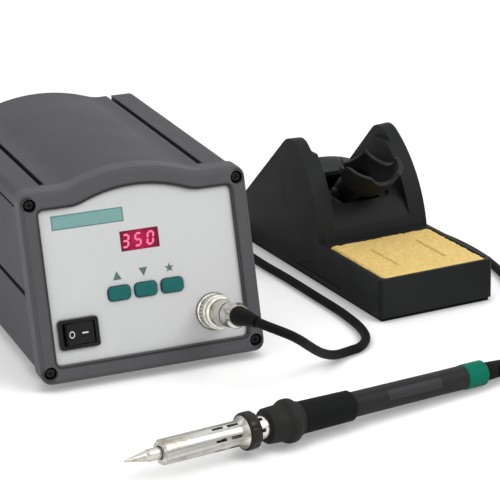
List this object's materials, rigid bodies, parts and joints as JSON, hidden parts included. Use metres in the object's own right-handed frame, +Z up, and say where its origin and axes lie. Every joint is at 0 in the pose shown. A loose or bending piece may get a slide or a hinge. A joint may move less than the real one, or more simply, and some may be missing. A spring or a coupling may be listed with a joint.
{
  "type": "soldering station",
  "caption": "Desktop soldering station: control unit with a leaning display panel, a stand with a sponge tray and tilting receptacle, and a corded pencil handpiece.",
  "frame": {"origin": "on the bench, below the middle of the box that holds the three pieces without their cord", "axes": "+Z up, +Y from the front panel to the back of the control unit, +X to the right seen from the front"},
  "size_m": [0.344, 0.3424, 0.1051],
  "materials": {
    "case_metal": "dark grey powder coat",
    "bezel_plastic": "fine matt grain",
    "panel_plastic": "satin light grey face plate",
    "window": "clear red",
    "white_plastic": "plain",
    "board": "solder mask",
    "brass": "plain",
    "black_plastic": "semi gloss",
    "button_plastic": "satin",
    "steel": "zinc plated",
    "dark_steel": "black oxide",
    "plated_brass": "nickel plated",
    "rubber": "matt",
    "core_iron": "laminated, varnished",
    "copper_winding": "taped",
    "aluminium": "plain",
    "fuse_glass": "clear",
    "green_plastic": "semi gloss",
    "stand_plastic": "fine matt grain",
    "sponge": "dry cellulose sponge",
    "tip_metal": "iron plated",
    "ceramic": "alumina ceramic",
    "barrel_steel": "polished stainless",
    "dark_nut": "black oxide",
    "handle_plastic": "satin",
    "ring_plastic": "satin"
  },
  "bodies": {
    "station": {"case_upper": "case_metal", "case_lower": "case_metal", "front_bezel": "bezel_plastic", "bezel_screws": "dark_steel", "front_panel": "panel_plastic", "display_window": "window", "display_module": "white_plastic", "control_board": "board", "board_standoffs": "brass", "tact_switches": "black_plastic", "switch_housing": "black_plastic", "switch_terminals": "steel", "socket_shell": "plated_brass", "socket_locknut": "plated_brass", "socket_pins": "brass", "plug_shell": "plated_brass", "plug_boot": "rubber", "transformer_core": "core_iron", "transformer_winding": "copper_winding", "transformer_strap": "steel", "inner_screws": "steel", "power_board": "board", "board_parts": "black_plastic", "heat_sink": "aluminium", "rear_panel": "case_metal", "rear_screws": "dark_steel", "mains_inlet": "black_plastic", "inlet_pins": "steel", "fuse_holder": "black_plastic", "earth_jack": "green_plastic", "feet": "rubber", "foot_screws": "steel", "cord_lead": "rubber", "cord_coil": "rubber", "cord_tail": "rubber"},
    "rocker": {"power_rocker": "black_plastic"},
    "button_up": {"button_up": "button_plastic"},
    "button_down": {"button_down": "button_plastic"},
    "button_set": {"button_set": "button_plastic"},
    "coupling_nut": {"coupling_nut": "plated_brass"},
    "fuse_cap": {"fuse_cap": "black_plastic", "fuse": "fuse_glass"},
    "stand": {"stand_body": "stand_plastic", "stand_plate": "steel", "stand_pad": "rubber", "stand_screws": "steel"},
    "receptacle": {"receptacle": "stand_plastic"},
    "sponge": {"sponge": "sponge"},
    "handpiece": {"soldering_tip": "tip_metal", "heater": "ceramic", "barrel": "barrel_steel", "neck": "steel", "front_cap": "black_plastic", "grip": "rubber", "handle": "handle_plastic", "handle_board": "board", "handle_ring": "ring_plastic", "cord_relief": "rubber"},
    "barrel_nut": {"barrel_nut": "dark_nut"}
  },
  "joints": [
    {"name": "rocker_tilt", "type": "hinge", "parent": "station", "child": "rocker", "pos_m": [-0.11186, -0.03225, 0.02705], "axis": [0, 0.2588, 0.9659], "range_deg": [-24, 0]},
    {"name": "button_up_press", "type": "slide", "parent": "station", "child": "button_up", "axis": [0, 0.9659, -0.2588], "range_m": [0, 0.0008], "stiffness_N_per_m": 2000, "springref_m": -0.0004},
    {"name": "button_down_press", "type": "slide", "parent": "station", "child": "button_down", "axis": [0, 0.9659, -0.2588], "range_m": [0, 0.0008], "stiffness_N_per_m": 2000, "springref_m": -0.0004},
    {"name": "button_set_press", "type": "slide", "parent": "station", "child": "button_set", "axis": [0, 0.9659, -0.2588], "range_m": [0, 0.0008], "stiffness_N_per_m": 2000, "springref_m": -0.0004},
    {"name": "coupling_nut_turn", "type": "hinge", "parent": "station", "child": "coupling_nut", "pos_m": [-0.03816, -0.03957, 0.02911], "axis": [0, -0.9659, 0.2588], "continuous": true},
    {"name": "fuse_cap_turn", "type": "hinge", "parent": "station", "child": "fuse_cap", "pos_m": [-0.05736, 0.15781, 0.03], "axis": [0, 1, 0], "range_deg": [0, 90]},
    {"name": "stand_lift", "type": "slide", "parent": "station", "child": "stand", "axis": [0, 0, 1], "range_m": [0, 0.05]},
    {"name": "receptacle_tilt", "type": "hinge", "parent": "stand", "child": "receptacle", "pos_m": [0.09019, 0.08037, 0.0432], "axis": [0.9962, 0.0872, 0], "range_deg": [-8, 8]},
    {"name": "sponge_lift", "type": "slide", "parent": "stand", "child": "sponge", "axis": [0, 0, 1], "range_m": [0, 0.02]},
    {"name": "handpiece_lift", "type": "slide", "parent": "station", "child": "handpiece", "axis": [0, 0, 1], "range_m": [0, 0.05]},
    {"name": "barrel_nut_turn", "type": "hinge", "parent": "handpiece", "child": "barrel_nut", "pos_m": [-0.06441, -0.15104, 0.01179], "axis": [-0.9775, -0.2078, 0.0377], "continuous": true}
  ]
}
